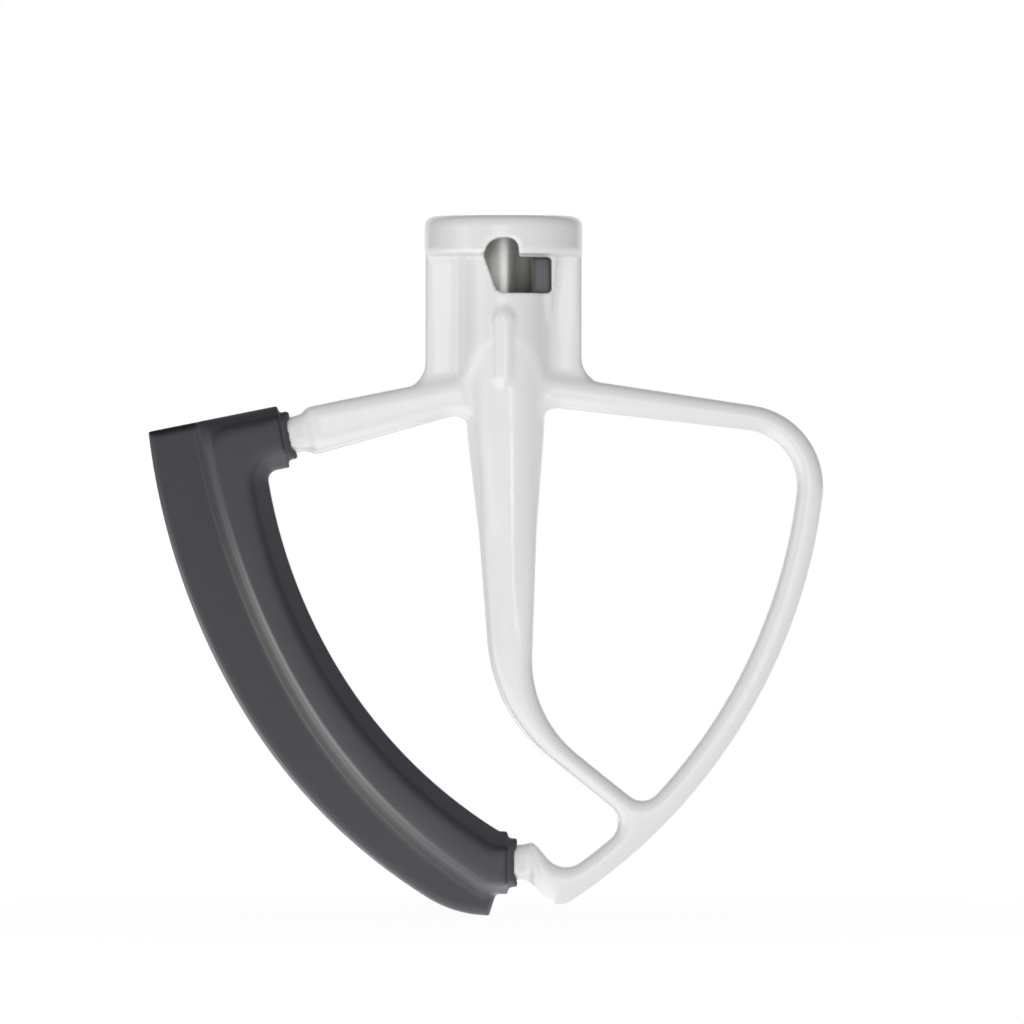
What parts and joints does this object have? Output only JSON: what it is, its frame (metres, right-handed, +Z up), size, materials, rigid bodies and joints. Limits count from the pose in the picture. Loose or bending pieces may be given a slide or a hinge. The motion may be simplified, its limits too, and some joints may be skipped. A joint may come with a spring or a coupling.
{
  "type": "stand mixer flat beater",
  "caption": "Flat beater for a stand mixer: a white coated open cast frame with a bayonet shaft hub, a central stem and a dark flexible wiper along its left side.",
  "frame": {"origin": "centre of the shaft bore at the top face of the collar", "axes": "+Z up along the drive shaft and out of the bore, -Y towards the face with the bayonet slot, +X towards the plain side of the loop"},
  "size_m": [0.1402, 0.0328, 0.1452],
  "materials": {
    "coat": "gloss",
    "wiper": "matte"
  },
  "bodies": {
    "root": {"beater_frame": "coat", "flex_edge": "wiper"}
  },
  "joints": []
}
